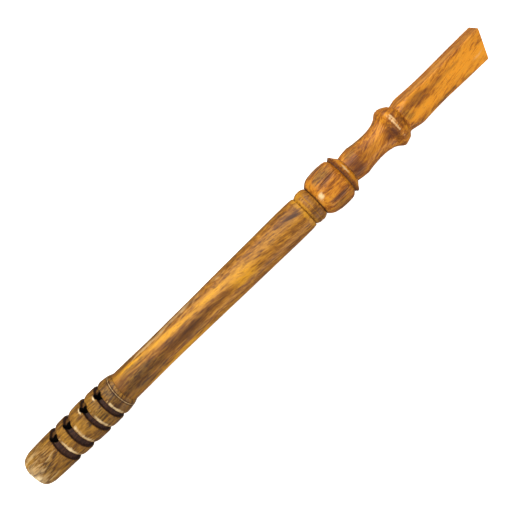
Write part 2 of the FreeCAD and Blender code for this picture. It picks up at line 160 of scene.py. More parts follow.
def corner_point(start, end, curve, share):
    """A point on the edge between two corners; curve is its radius, off the axis if positive."""
    start, end = np.array(start[:2], float), np.array(end[:2], float)
    chord = end - start
    length = np.linalg.norm(chord)
    point = start + chord * share
    if curve:
        outwards = np.array([-chord[1], chord[0]]) / length
        if outwards[1] < 0:
            outwards = -outwards
        reach = (share - 0.5) * length
        rise = math.sqrt(curve ** 2 - reach ** 2) - math.sqrt(curve ** 2 - length ** 2 / 4)
        point = point + outwards * math.copysign(rise, curve)
    return point


def outline(corners, step):
    """Sample a closed half-section, given as (station, radius, ease, curve to the next corner).

    ease rounds a corner: one length, or the lengths that it takes from the edge before and after.
    """
    corners = [tuple(corner) + (0,) * (4 - len(corner)) for corner in corners]
    eases = [c[2] if isinstance(c[2], tuple) else (c[2], c[2]) for c in corners]
    points = []
    for number, corner in enumerate(corners):
        following = corners[(number + 1) % len(corners)]
        ease_before, ease_after = eases[(number + 1) % len(corners)]
        length = math.dist(corner[:2], following[:2])
        first = min(eases[number][1] / length, 0.48)
        last = 1 - min(ease_before / length, 0.48)
        in_bore = max(corner[1], following[1]) <= BORE + 0.01
        pieces = max(1, math.ceil(length * (last - first) / (BORE_STEP if in_bore else step)))
        shares = np.linspace(first, last, pieces + 1)
        points += [corner_point(corner, following, corner[3], share) for share in shares]
        if ease_before > 0:
            after = corners[(number + 2) % len(corners)]
            next_length = math.dist(following[:2], after[:2])
            away = min(ease_after / next_length, 0.48)
            onward = corner_point(following, after, following[3], away)
            middle = np.array(following[:2], float)
            reached = points[-1]
            for share in (0.17, 0.34, 0.5, 0.66, 0.83):
                points.append((1 - share) ** 2 * reached + 2 * share * (1 - share) * middle
                              + share ** 2 * onward)
    kept = [points[0]]
    for point in points[1:]:
        if np.linalg.norm(point - kept[-1]) > 1e-4:
            kept.append(point)
    if np.linalg.norm(kept[0] - kept[-1]) < 1e-4:
        kept.pop()
    return np.array(kept)


def turned(name, corners, around, shape, step=0.7):
    """A closed shell: a half-section carried once round the axis, then reshaped.

    shape takes each point's station, radius and angle and gives its new station and radius.
    """
    section = outline(corners, step)
    rows = len(section)
    angle = np.arange(around) * (2 * math.pi / around) + np.zeros((rows, 1))
    along = section[:, :1] + np.zeros((1, around))
    radius = section[:, 1:] + np.zeros((1, around))
    along, radius = shape(along, radius, angle)
    spots = np.stack([FOOT_FACE + along * MM, radius * np.sin(angle) * MM,
                      AXIS_HEIGHT + radius * np.cos(angle) * MM], axis=-1).reshape(-1, 3)
    row, column = np.divmod(np.arange(rows * around), around)
    next_row, next_column = (row + 1) % rows, (column + 1) % around
    faces = np.stack([row * around + column, next_row * around + column,
                      next_row * around + next_column, row * around + next_column], axis=-1)
    mesh = bpy.data.meshes.new(name)
    mesh.from_pydata(spots.tolist(), [], faces.tolist())
    return add_object(name, mesh)


FIELDS = ("heart", "gold", "pale_and_highlight", "olive", "stain_and_shade", "painted_hole_shade")


def finish_piece(piece, body, node, material, fields, sharp=38.0, drift=None):
    """Shade, paint the colour fields, set the material and tie the piece to the frame.

    fields gives the painters of each colour field. drift gives stations and, for each, how far
    the grain has wandered sideways in millimetres.
    """
    mesh = piece.data
    spots = np.empty(len(mesh.vertices) * 3, np.float32)
    mesh.vertices.foreach_get("co", spots)
    spots = spots.reshape(-1, 3).astype(float)
    along = (spots[:, 0] - FOOT_FACE) / MM
    across, up = spots[:, 1] / MM, (spots[:, 2] - AXIS_HEIGHT) / MM
    radius, angle = np.hypot(across, up), np.arctan2(across, up)
    for field_name in FIELDS:
        values = np.zeros(len(along))
        for paint in fields.get(field_name, ()):
            values = np.maximum(values, paint(along, radius, angle))
        attribute = mesh.attributes.new(field_name, "FLOAT", "POINT")
        attribute.data.foreach_set("value", np.clip(values, 0, 1).astype(np.float32))
    wander = np.interp(along, *drift) if drift else np.zeros(len(along))
    attribute = mesh.attributes.new("drift", "FLOAT", "POINT")
    attribute.data.foreach_set("value", (wander * MM).astype(np.float32))
    mesh.shade_smooth()
    mesh.set_sharp_from_angle(angle=math.radians(sharp))
    mesh.materials.clear()
    mesh.materials.append(material)
    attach(piece, body)
    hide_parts(node)


def patch(station, degrees, long, wide, strength, lean=0.0, ragged=0.45):
    """A soft lens of colour round a spot, long in millimetres and wide in degrees.

    lean is how many degrees it drifts per millimetre and ragged is how uneven its edge is.
    """
    def paint(along, radius, angle):
        drift = (along - station) * lean
        far = np.hypot((along - station) / long, (turn_from(angle, degrees) - drift) / wide)
        far = far + ragged * noise(along, radius, angle, 4.0, int(station) + 7, 4.0)
        far = far + ragged * 0.6 * noise(along, radius, angle, 1.6, int(station) + 8, 4.0)
        return strength * (1 - eased_step(far, 0.1, 1.3))
    return paint


def below(limit, low_station=-1e9, high_station=1e9, soft=0.5):
    """Colour everything nearer the axis than limit, between two stations."""
    def paint(along, radius, angle):
        inside = (along >= low_station) & (along <= high_station)
        return inside * (1 - eased_step(radius, limit - soft, limit + soft))
    return paint


def ring_band(low, high, soft=0.4, strength=1.0, least=10.0):
    """Colour a band all round the pipe between two stations."""
    def paint(along, radius, angle):
        band = eased_step(along, low - soft, low + soft)
        band = band - eased_step(along, high - soft, high + soft)
        return strength * band * (radius > least)
    return paint


def everywhere(strength):
    """Colour the whole piece by the same amount."""
    return lambda along, radius, angle: strength + np.zeros(along.shape)


# ---------------------------------------------------------------- materials

def colour(red, green, blue):
    """A linear colour from the usual 0-255 screen values."""
    def linear(value):
        value = value / 255
        return value / 12.92 if value <= 0.04045 else ((value + 0.055) / 1.055) ** 2.4
    return (linear(red), linear(green), linear(blue), 1.0)


class Graph:
    """A short way to write a material's nodes."""

    def __init__(self, name):
        self.material = bpy.data.materials.new(name)
        self.material.use_nodes = True
        self.tree = self.material.node_tree
        self.tree.nodes.clear()

    def node(self, kind, **settings):
        made = self.tree.nodes.new(kind)
        for key, value in settings.items():
            setattr(made, key, value)
        return made

    def feed(self, socket, value):
        if isinstance(value, bpy.types.NodeSocket):
            self.tree.links.new(value, socket)
        else:
            socket.default_value = value

    def sum(self, operation, first, second=0.0, third=None, clamp=False):
        made = self.node("ShaderNodeMath", operation=operation, use_clamp=clamp)
        self.feed(made.inputs[0], first)
        self.feed(made.inputs[1], second)
        if third is not None:
            self.feed(made.inputs[2], third)
        return made.outputs[0]

    def place(self, scale, warp=None, offset=(0, 0, 0)):
        """Object coordinates moved by the grain's drift and the warp, then scaled."""
        source = self.node("ShaderNodeTexCoord").outputs["Object"]
        sideways = self.node("ShaderNodeCombineXYZ")
        self.feed(sideways.inputs[1], self.field("drift"))
        leaned = self.node("ShaderNodeVectorMath", operation="ADD")
        self.feed(leaned.inputs[0], source)
        self.feed(leaned.inputs[1], sideways.outputs[0])
        source = leaned.outputs[0]
        if warp is not None:
            added = self.node("ShaderNodeVectorMath", operation="ADD")
            self.feed(added.inputs[0], source)
            self.feed(added.inputs[1], warp)
            source = added.outputs[0]
        made = self.node("ShaderNodeMapping")
        self.feed(made.inputs["Vector"], source)
        made.inputs["Scale"].default_value = scale
        made.inputs["Location"].default_value = offset
        return made.outputs[0]

    def noise(self, vector, detail=3.0, roughness=0.55, distortion=0.0):
        made = self.node("ShaderNodeTexNoise")
        self.feed(made.inputs["Vector"], vector)
        made.inputs["Scale"].default_value = 1.0
        made.inputs["Detail"].default_value = detail
        made.inputs["Roughness"].default_value = roughness
        made.inputs["Distortion"].default_value = distortion
        return made

    def ramp(self, factor, stops):
        made = self.node("ShaderNodeValToRGB")
        self.feed(made.inputs[0], factor)
        elements = made.color_ramp.elements
        while len(elements) < len(stops):
            elements.new(0.5)
        for element, (place, shade) in zip(elements, stops):
            element.position = place
            element.color = shade
        return made.outputs[0]

    def level(self, factor, low, high):
        """0 below low and 1 above high, smoothly."""
        made = self.node("ShaderNodeMapRange", interpolation_type="SMOOTHSTEP")
        self.feed(made.inputs["Value"], factor)
        made.inputs["From Min"].default_value = low
        made.inputs["From Max"].default_value = high
        return made.outputs["Result"]

    def mix(self, factor, first, second):
        made = self.node("ShaderNodeMix", data_type="RGBA")
        self.feed(made.inputs[0], factor)
        self.feed(made.inputs[6], first)
        self.feed(made.inputs[7], second)
        return made.outputs[2]

    def field(self, name):
        made = self.node("ShaderNodeAttribute", attribute_name=name)
        return made.outputs["Fac"]

    def ragged(self, name, grain):
        """A painted field, broken up along the grain where it is weak."""
        field = self.field(name)
        kept = self.level(self.sum("MULTIPLY_ADD", field, 0.55, grain), 0.46, 0.74)
        return self.sum("MULTIPLY", field, kept, clamp=True)

    def close(self, base, roughness, height, bump_depth, strength, **sockets):
        """End the material in one shader over a fine bump; sockets sets its other values."""
        bump = self.node("ShaderNodeBump")
        bump.inputs["Strength"].default_value = strength
        bump.inputs["Distance"].default_value = bump_depth
        self.feed(bump.inputs["Height"], height)
        shader = self.node("ShaderNodeBsdfPrincipled")
        self.feed(shader.inputs["Base Color"], base)
        self.feed(shader.inputs["Roughness"], roughness)
        self.feed(shader.inputs["Normal"], bump.outputs[0])
        for key, value in sockets.items():
            shader.inputs[key.replace("_", " ")].default_value = value
        output = self.node("ShaderNodeOutputMaterial")
        self.tree.links.new(shader.outputs[0], output.inputs[0])
        return self.material


def wood(name, dark, mid, light, gold, heart, offset):
    """Oiled, lightly polished rosewood with the grain along the pipe."""
    g = Graph(name)
    slow = g.noise(g.place((10, 34, 34), offset=offset), 2.0)
    wander = g.node("ShaderNodeVectorMath", operation="SCALE")
    g.feed(wander.inputs[0], slow.outputs["Color"])
    wander.inputs["Scale"].default_value = 0.009
    warp = wander.outputs[0]
    bands = g.noise(g.place((11, 170, 170), warp, offset), 3.0, 0.62, 0.5).outputs["Fac"]
    fibres = g.noise(g.place((60, 640, 640), warp, offset), 4.0, 0.68).outputs["Fac"]
    flecks = g.noise(g.place((105, 520, 520), warp, offset), 3.0, 0.7).outputs["Fac"]
    pores = g.noise(g.place((190, 2300, 2300), warp, offset), 1.0).outputs["Fac"]
    mottle = g.noise(g.place((45, 70, 70), offset=offset), 3.0, 0.6).outputs["Fac"]

    # the plain wood, then each colour field over it
    tone = g.sum("MULTIPLY_ADD", fibres, 0.4, g.sum("MULTIPLY", bands, 0.23))
    tone = g.sum("MULTIPLY_ADD", flecks, 0.31, tone)
    tone = g.sum("MULTIPLY_ADD", mottle, 0.06, tone)
    base = g.ramp(g.level(tone, 0.38, 0.61), [(0.0, dark), (0.5, mid), (1.0, light)])
    gold_tone = g.ramp(g.level(tone, 0.38, 0.62), [(0.0, mid), (0.42, gold), (1.0, light)])
    base = g.mix(g.ragged("gold", fibres), base, gold_tone)
    olive_tone = g.ramp(g.level(flecks, 0.4, 0.6), [(0.0, colour(42, 27, 8)),
                                                    (1.0, colour(124, 90, 30))])
    base = g.mix(g.ragged("olive", flecks), base, olive_tone)
    heart_tone = g.ramp(g.level(fibres, 0.32, 0.68), [(0.0, heart), (1.0, dark)])
    base = g.mix(g.ragged("heart", fibres), base, heart_tone)
    # pale wood, and painted highlights where this field is laid on lit shoulders and rims
    base = g.mix(g.ragged("pale_and_highlight", flecks), base, colour(214, 188, 140))
    # dark stain, with painted shade where this field deepens the grooves
    stain_and_shade_tone = g.ramp(g.level(flecks, 0.35, 0.7), [(0.0, colour(34, 17, 13)),
                                                     (1.0, colour(70, 42, 28))])
    base = g.mix(g.ragged("stain_and_shade", flecks), base, stain_and_shade_tone)
    # painted shade: near black in the finger holes and the bore beneath them
    base = g.mix(g.field("painted_hole_shade"), base, colour(9, 5, 4))

    # dark pores, then lighter on convex edges and darker in concave corners, by the surface's
    # pointiness
    pore_dark = g.level(pores, 0.62, 0.74)
    base = g.mix(g.sum("MULTIPLY", pore_dark, 0.6), base, colour(46, 27, 14))
    shape = g.node("ShaderNodeNewGeometry").outputs["Pointiness"]
    base = g.mix(g.sum("MULTIPLY", g.level(shape, 0.515, 0.56), 0.3), base, light)
    base = g.mix(g.sum("MULTIPLY", g.level(shape, 0.485, 0.43), 0.6), base, colour(40, 22, 12))

    roughness = g.sum("MULTIPLY_ADD", flecks, 0.3, 0.3)
    roughness = g.sum("MULTIPLY_ADD", g.field("stain_and_shade"), 0.25, roughness)
    height = g.sum("MULTIPLY_ADD", fibres, 0.6, g.sum("MULTIPLY", pore_dark, -0.8))
    height = g.sum("MULTIPLY_ADD", flecks, 0.5, height)
    return g.close(base, roughness, height, 0.00025, 0.5, Coat_Weight=0.04, Coat_Roughness=0.25,
                   Specular_IOR_Level=0.2)


def thread_material(name):
    """Waxed cotton thread, wound tight."""
    g = Graph(name)
    twist = g.noise(g.place((900, 1500, 1500)), 3.0, 0.6).outputs["Fac"]
    grime = g.noise(g.place((120, 120, 120)), 2.0).outputs["Fac"]
    base = g.ramp(g.level(twist, 0.3, 0.7), [(0.0, colour(116, 92, 58)),
                                             (1.0, colour(196, 176, 132))])
    base = g.mix(g.level(grime, 0.5, 0.75), base, colour(92, 66, 40))
    roughness = g.sum("MULTIPLY_ADD", grime, 0.3, 0.5)
    return g.close(base, roughness, twist, 0.0002, 0.6, Specular_IOR_Level=0.4)


def floor_material():
    """Matt white studio paper."""
    g = Graph("studio_paper")
    tooth = g.noise(g.place((600, 600, 600)), 3.0).outputs["Fac"]
    base = g.ramp(tooth, [(0.3, colour(243, 243, 243)), (0.7, colour(248, 248, 248))])
    return g.close(base, 0.9, tooth, 0.00005, 0.1, Specular_IOR_Level=0.1,
                   Emission_Color=(1, 1, 1, 1), Emission_Strength=0.55)


SHAFT_WOOD = wood("oiled_shaft_wood", colour(80, 46, 13), colour(132, 81, 15),
                  colour(172, 118, 36), colour(206, 146, 24), colour(58, 32, 16),
                  (3.1, 1.7, 0.4))
HEAD_WOOD = wood("oiled_head_wood", colour(102, 54, 11), colour(150, 86, 14),
                 colour(192, 126, 30), colour(204, 130, 24), colour(68, 30, 12),
                 (7.9, 4.3, 2.2))
THREAD = thread_material("waxed_thread_winding")


# ---------------------------------------------------------------- foot joint

GROOVES = ((38.6, 6.9), (57.3, 6.8), (81.4, 5.2), (100.5, 5.5))
GROOVE_FLOOR = 16.9
VENT_TURN = 50.0
VENT_RADIUS = 4.5
VENT_SHIFT = 0.4
VENT_CUTTER = (4.0, 27.0)  # how far out from the axis the cutters start and end
SCORED_LINES = ((117.7, 20.15), (119.5, 19.55))
CRACK_STATIONS = (3, 8, 12, 17, 20, 24, 28, 33, 38)
CRACK_DEGREES = (27, 21, 18.5, 17.5, 14.5, 12.5, 15.5, 19, 19.5)


def land_radius(station):
    """The radius of the lands between the grooves."""
    return float(np.interp(station, (38.6, 80.0, 108.0), (21.3, 21.8, 21.3)))


def foot_corners():
    """The foot's half-section, from the rim over the grooves and down to the socket and bore."""
    corners = [(0, 18.3, (1.5, 1.8), 24.0), (10, 20.55)]
    for start, width in GROOVES:
        end = start + width
        corners += [(start, land_radius(start), 0.55), (start + 0.15, GROOVE_FLOOR, 0.5),
                    (end - 0.1, GROOVE_FLOOR, 0.5), (end, land_radius(end), (3.6, 8.6))]
    corners.append((112.4, 20.85, 2.0))
    for centre, radius in SCORED_LINES:
        corners += [(centre - 0.42, radius, 0.12), (centre, radius - 0.55, 0.1),
                    (centre + 0.42, radius - 0.12, 0.12)]
    corners += [(122.0, 18.6, 0.6), (FOOT_END, 18.0, 0.25), (FOOT_END, SOCKET, 0.4),
                (108.2, SOCKET, 0.3), (108.2, BORE, 0.3), (0, BORE, 0.8)]
    return corners


def crack(along, radius, angle):
    """A shallow drying crack wandering from the foot's rim to the first groove."""
    course = np.interp(along, CRACK_STATIONS, CRACK_DEGREES)
    width = 1.5 + 0.9 * noise(along, radius, angle, 3.0, 14)
    return np.exp(-((turn_from(angle, 0) - course) / width) ** 2) * (along < 38.0) * (along > 2)


def groove_floor_lit_side(along, radius, angle):
    """Painted light: the grooves' floors are left paler on the +Y side, where the softboxes light
    them.
    """
    floor = 0.75 * np.exp(-(turn_from(angle, 92.0) / 26.0) ** 2) * (radius > GROOVE_FLOOR - 0.6)
    return floor * (radius < GROOVE_FLOOR + 0.8) * (along > 38.0)


def foot_shape(along, radius, angle):
    """Uneven lands, a knocked rim, the crack and the nicks, on the outside only."""
    outside = eased_step(radius, 13.4, 16.0)
    bulk = 0.16 * noise(along, radius, angle, 17.0, 11, 1.6) - 0.1
    small = 0.05 * noise(along, radius, angle, 4.0, 12, 2.0)
    radius = radius + outside * (bulk + small)
    # the rim is knocked in at one place, and the crack runs up from it
    knock = np.exp(-(turn_from(angle, -4.0) / 24.0) ** 2 - ((along - 0.3) / 3.0) ** 2)
    radius = radius - outside * 1.6 * knock * (1 + 0.4 * noise(along, radius, angle, 2.0, 13))
    radius = radius - outside * 0.14 * crack(along, radius, angle)
    # the rims beside vents 3 and 4 have been nicked by the drill
    for start, width in GROOVES[2:]:
        nick = np.exp(-(turn_from(angle, VENT_TURN - 2) / 8.0) ** 2
                      - ((along - start + 0.6) / 1.3) ** 2)
        radius = radius - outside * 0.7 * nick
    return along, radius


def vent_direction():
    """The way out along every vent."""
    return np.array([0, math.sin(math.radians(VENT_TURN)), math.cos(math.radians(VENT_TURN))])


def vent_middles():
    """The spot on the pipe's axis that each vent is drilled towards."""
    return [np.array([start + width / 2 + VENT_SHIFT, 0, 0]) for start, width in GROOVES]


def inside_vents(along, radius, angle):
    """Painted shade: 1 on the walls of the vents, which are coloured near black like the shadow
    inside a hole.
    """
    shadow = np.zeros(len(along))
    spots = np.stack([along, radius * np.sin(angle), radius * np.cos(angle)], axis=-1)
    outwards = vent_direction()
    for middle in vent_middles():
        away = spots - middle
        height = away @ outwards
        far = np.linalg.norm(away - height[:, None] * outwards, axis=1)
        shadow = np.maximum(shadow, (far < VENT_RADIUS + 0.5) * (height > 5))
    return shadow


def vent_cutters():
    """A tapered round cutter for each finger hole, ringed so that the walls it cuts have points."""
    outwards = vent_direction()
    sideways = np.array([0, outwards[2], -outwards[1]])
    lengthways = np.array([1.0, 0, 0])
    low, high = VENT_CUTTER
    rings, around = 24, 64
    spots, faces = [], []
    for middle in vent_middles():
        first = len(spots)
        for height in np.linspace(low, high, rings):
            radius = VENT_RADIUS - 0.1 + 0.35 * (height - low) / (high - low)
            for turn in np.arange(around) * (2 * math.pi / around):
                rim = math.cos(turn) * sideways + math.sin(turn) * lengthways
                spots.append(middle + outwards * height + radius * rim)
        last = first + (rings - 1) * around
        for corner in range(first, last):
            beside = corner + 1 if (corner + 1 - first) % around else corner + 1 - around
            faces.append((corner, beside, beside + around, corner + around))
        faces.append(tuple(range(first + around - 1, first - 1, -1)))
        faces.append(tuple(range(last, last + around)))
    spots = np.array(spots) * MM + np.array([FOOT_FACE, 0, AXIS_HEIGHT])
    cutter_mesh = bpy.data.meshes.new("vent_cutters")
    cutter_mesh.from_pydata(spots.tolist(), [], faces)
    cutters = bmesh.new()
    cutters.from_mesh(cutter_mesh)
    bmesh.ops.recalc_face_normals(cutters, faces=cutters.faces)
    cutters.to_mesh(cutter_mesh)
    cutters.free()
    return add_object("vent_cutters", cutter_mesh)


def cut_vents(piece):
    """Drill the four finger holes through the grooves' floors."""
    cutter = vent_cutters()
    cutter_mesh = cutter.data
    drill = piece.modifiers.new("vents", "BOOLEAN")
    drill.operation = "DIFFERENCE"
    drill.solver = "EXACT"
    drill.object = cutter
    bpy.context.view_layer.update()
    cut = piece.evaluated_get(bpy.context.evaluated_depsgraph_get())
    whole = piece.data
    piece.data = bpy.data.meshes.new_from_object(cut)
    piece.data.name = piece.name
    piece.modifiers.clear()
    bpy.data.meshes.remove(whole)
    bpy.data.objects.remove(cutter)
    bpy.data.meshes.remove(cutter_mesh)


def groove_stain_and_shade(along, radius, angle):
    """The grooves are stained dark and deepened with painted shade, right up to the edge on the
    foot's side.
    """
    dark = np.zeros(len(along))
    for start, width in GROOVES:
        for paint in (below(20.4, start - 0.3, start + width * 0.5),
                      below(18.8, start + width * 0.5, start + width + 1.0, 1.1)):
            dark = np.maximum(dark, paint(along, radius, angle))
    return dark * (1 - groove_floor_lit_side(along, radius, angle))


def crack_pale(along, radius, angle):
    """Fresh wood showing in the crack."""
    return 0.38 * crack(along, radius, angle) * (radius > 15)


foot = turned("foot_joint_look", foot_corners(), 288, foot_shape)
cut_vents(foot)
finish_piece(foot, "foot", "foot_joint", SHAFT_WOOD, {
    # stain, with painted shade in the grooves
    "stain_and_shade": [groove_stain_and_shade, below(12.5), ring_band(117.2, 118.1, 0.2, 0.8),
              ring_band(119.1, 119.9, 0.2, 0.8), patch(25, -1, 7, 11, 0.4)],
    # painted shade in the vents and the bore under them
    "painted_hole_shade": [inside_vents, below(10.5, 30, 118)],
    "gold": [patch(8, 50, 14, 30, 0.8), patch(30, 55, 12, 22, 0.6), patch(53, 25, 6, 34, 0.7),
             patch(90, 45, 9, 40, 0.6), patch(18, -50, 18, 24, 0.7), patch(72, 20, 8, 34, 0.6)],
    "pale_and_highlight": [patch(1.0, -6, 4.0, 28, 1.0), patch(3, -6, 6.5, 17, 1.0),
             patch(2, 0, 16, 110, 0.34, 0.0, 0.6), patch(20, 40, 18, 50, 0.14),
             crack_pale, ring_band(118.3, 118.9, 0.2, 0.5),
             # painted highlights: cream light along the rounded shoulder of each land
             patch(47.8, -14, 1.9, 44, 0.8), patch(66.6, -14, 1.9, 44, 0.8),
             patch(88.9, -14, 1.8, 44, 0.7), patch(108.1, -14, 1.8, 44, 0.7),
             patch(79.3, VENT_TURN, 1.4, 11, 1.0, ragged=0.2),
             patch(98.3, VENT_TURN, 1.4, 10, 1.0, ragged=0.2)],
    "olive": [everywhere(0.62), patch(20, 0, 17, 34, 0.9), patch(95, -10, 30, 60, 0.9),
              patch(114, 0, 9, 80, 0.9)],
    "heart": [patch(104, -25, 10, 24, 0.6), patch(114, -20, 9, 50, 0.5)],
})


# ---------------------------------------------------------------- main tube and neck ring

def tube_shape(along, radius, angle):
    """A little unevenness outside, and none on the tenons or in the bore."""
    outside = eased_step(radius, 14.6, 16.4)
    bulk = 0.14 * noise(along, radius, angle, 24.0, 21, 3.0) - 0.08
    small = 0.04 * noise(along, radius, angle, 5.0, 22, 3.0)
    return along, radius + outside * (bulk + small)


tube = turned("main_tube_look", [
    (FOOT_END + 0.05, 17.75, 0.3), (145.0, 17.6, 6.0), (166.0, 17.25, 6.0), (186.0, 17.25, 6.0),
    (217.0, 17.55, 6.0), (238.0, 17.75, 6.0), (279.0, 18.3, 6.0), (320.0, 18.7, 6.0),
    (341.0, 18.95, 5.0), (359.0, 19.1, 5.0), (376.0, 19.0, 2.5), (TUBE_SHOULDER, 18.3, 1.3),
    (TUBE_SHOULDER, STUB, 0.3), (396.55, STUB, 0.3), (396.55, TENON, 0.2),
    (HEAD_THREAD, TENON, 0.1), (HEAD_THREAD, THREAD_SEAT, 0.1),
    (HEAD_THREAD + THREAD_LENGTH, THREAD_SEAT, 0.1), (HEAD_THREAD + THREAD_LENGTH, TENON, 0.1),
    (TUBE_END, TENON, 0.8), (TUBE_END, BORE, 0.4), (108.6, BORE, 0.4), (108.6, TENON, 0.8),
    (FOOT_THREAD, TENON, 0.1), (FOOT_THREAD, THREAD_SEAT, 0.1),
    (FOOT_THREAD + THREAD_LENGTH, THREAD_SEAT, 0.1), (FOOT_THREAD + THREAD_LENGTH, TENON, 0.1),
    (FOOT_END + 0.05, TENON, 0.2),
], 224, tube_shape, 0.85)
finish_piece(tube, "tube", "main_tube", SHAFT_WOOD, {
    "heart": [patch(210, -3, 42, 27, 0.9, -0.03, 0.3), patch(248, -4, 36, 13, 0.7, -0.1, 0.3),
              patch(367, 26, 12, 8, 1.0, -1.0, 0.2), patch(222, -120, 60, 26, 0.8),
              patch(300, 160, 60, 18, 0.8), patch(150, -10, 36, 46, 0.7),
              patch(128, 0, 18, 90, 0.55), patch(362, 40, 20, 34, 0.35)],
    "gold": [patch(146, 52, 32, 14, 1.0, -0.3, 0.25), patch(196, 37, 44, 12, 1.0, -0.25, 0.25),
             patch(255, 28, 48, 12, 1.0, -0.08, 0.25), patch(292, 8, 26, 36, 0.9),
             patch(195, -62, 95, 27, 1.0), patch(335, 14, 45, 30, 0.3),
             patch(379, 10, 3, 120, 0.6)],
    "olive": [patch(143, 0, 36, 50, 1.0), patch(200, 86, 100, 22, 0.8),
              patch(320, 84, 80, 18, 0.5)],
    "pale_and_highlight": [patch(210, 66, 80, 12, 0.35)],
    "stain_and_shade": [below(12.0), ring_band(380.9, 383, 0.2, 0.6, 9.5)],
}, drift=((123, 250, 382), (0, 0, 29)))


def ring_shape(along, radius, angle):
    """Carved, not turned: shallow knife strokes all round."""
    strokes = 0.14 * noise(along, radius, angle, 9.0, 31) - 0.12 + 0.09 * np.cos(angle * 11 + 0.6)
    return along, radius + eased_step(radius, 14.6, 16.4) * strokes


ring = turned("neck_ring_look", [
    (381.25, 17.0, 0.3), (382.0, 17.5, 0.4, 11.0), (388.2, 19.5, 0.2), (388.7, 19.1, 0.1),
    (389.2, 19.5, 0.2), (391.0, 19.6, 0.3, 11.0), (RING_END, 17.3, 0.4),
    (RING_END, RING_HOLE, 0.2), (381.25, RING_HOLE, 0.2),
], 256, ring_shape, 0.45)
finish_piece(ring, "tube", "neck_ring", SHAFT_WOOD, {
    "gold": [ring_band(382.0, 384.5, 1.0, 0.5), ring_band(388.2, 389.2, 0.3, 0.6),
             patch(386, 70, 8, 30, 0.5)],
    "heart": [patch(388, -34, 12, 46, 0.45), patch(392, 20, 5, 60, 0.4)],
    "stain_and_shade": [ring_band(395.9, 397, 0.4, 0.55)],
})


# ---------------------------------------------------------------- bulb

BULB_BORDERS = (29.0, 72.0, 116.0, 159.0, -23.0, -68.0, -113.0, -158.0)
BULB_PANELS = (3.0, 50.5, 94.0, 137.5, 180.0, -45.5, -90.5, -135.5)
BORDER_LEANS = (0.3, 0.1, -0.05, 0.08, 0.0, -0.1, 0.06, -0.08)
PANEL_CREST = 23.88
WIDEST = 23.87  # half of the part's width, less a hair


def bulb_shape(along, radius, angle):
    """Eight long panels, with a knife cut along each border between them."""
    outside = eased_step(radius, 15.0, 17.5)
    reach = (along - 415.1) / 18.5
    height = PANEL_CREST - 1.85 * reach ** 2 + 0.55 * reach
    height = np.minimum(height, PANEL_CREST)
    panels = facet_radius(angle, [(centre, height) for centre in BULB_PANELS])
    carved = softened_minimum(radius, panels, 0.35)
    for border, lean in zip(BULB_BORDERS, BORDER_LEANS):
        # the cut is widest at the foot end and closes towards the flange
        close = eased_step(along, 405.6, 407.0) * (1 - eased_step(along, 427.0, 432.5))
        width = 4.9 - 2.6 * eased_step(along, 408.0, 431.0)
        drift = turn_from(angle, border + lean * (along - 418))
        depth = 0.85 * close * (1 - eased_step(np.abs(drift), width * 0.35, width))
        carved = carved - depth
    carved = carved + 0.07 * noise(along, radius, angle, 6.0, 41, 1.5) - 0.05
    # the corners between the panels stay inside the part's width and height
    square = WIDEST / np.maximum(np.abs(np.sin(angle)), np.abs(np.cos(angle)))
    carved = np.minimum(carved, square)
    return along, radius + outside * (carved - radius)


bulb = turned("bulb_look", [
    (BULB_START, 17.4, 0.5, 16.0), (406.5, 23.4, 0.0, 60.0), (427.0, 24.6, 0.6, 10.0),
    (BULB_END, 20.6, 0.5), (BULB_END, SPIGOT_HOLE, 0.2), (420.5, SPIGOT_HOLE, 0.2),
    (420.5, BORE, 0.2), (415.0, BORE, 0.2), (415.0, SOCKET, 0.2), (BULB_START, SOCKET, 0.4),
], 384, bulb_shape, 0.5)
finish_piece(bulb, "head", "bulb", HEAD_WOOD, {
    "gold": [patch(402, 40, 6, 60, 0.5), patch(420, 2, 15, 22, 0.4, 0.0, 0.2)],
    # painted highlight on the bulb's shoulder
    "pale_and_highlight": [patch(401.8, 10, 3.6, 14, 1.0, ragged=0.5)],
    # the knife cuts along the panel borders are coloured dark along their length
    "heart": [patch(418, border, 15, 8.0, 1.0, lean, 0.1)
              for border, lean in zip(BULB_BORDERS, BORDER_LEANS)],
    "olive": [patch(416, 50, 16, 20, 0.7), patch(414, -46, 17, 20, 0.6),
              patch(414, 92, 16, 16, 0.8)],
    "stain_and_shade": [ring_band(396.8, 397.9, 0.5, 0.55), below(12.0)],
}, 30.0)


def flange_shape(along, radius, angle):
    uneven = 0.16 * noise(along, radius, angle, 8.0, 51) - 0.1
    return along, radius + eased_step(radius, 14.0, 15.2) * uneven


flange = turned("flange_ring_look", [
    (BULB_END + 0.05, 21.0, 0.3), (434.6, 21.7, 0.3), (436.2, 23.4, 0.5), (437.4, 22.8, 0.5),
    (439.3, 20.0, 0.4), (FLANGE_END, 16.0, 0.3), (FLANGE_END, SPIGOT_HOLE, 0.2),
    (BULB_END + 0.05, SPIGOT_HOLE, 0.2),
], 256, flange_shape, 0.4)
finish_piece(flange, "head", "flange_ring", HEAD_WOOD, {
    "stain_and_shade": [ring_band(432.9, 434.8, 0.4, 0.55)],
    "heart": [ring_band(433.0, 436.7, 0.5, 0.7)],
    # painted highlight: a golden band on the flange's rim and cone, with a pale spot on it
    "gold": [ring_band(437.6, 440.8, 0.4, 0.9)],
    "pale_and_highlight": [patch(439.0, 14, 1.6, 18, 0.7)],
})


# ---------------------------------------------------------------- neck, collar and mouth block

NECK_STATIONS = (442.8, 447.0, 452.0, 457.4, 460.5, 464.5, 469.0, 475.0, 479.0, 485.0, 489.0,
                 493.0, 495.5, NECK_END)
NECK_RADII = (15.4, 16.2, 16.8, 17.1, 16.5, 15.8, 15.4, 15.0, 15.0, 15.3, 15.9,
              16.9, 17.8, 19.0)
NECK_FACETS = (4, 47, 88, 131, 176, -46, -93, -137)
SCOOP_DEPTH = 2.9
BLOCK_TURN = 39.0


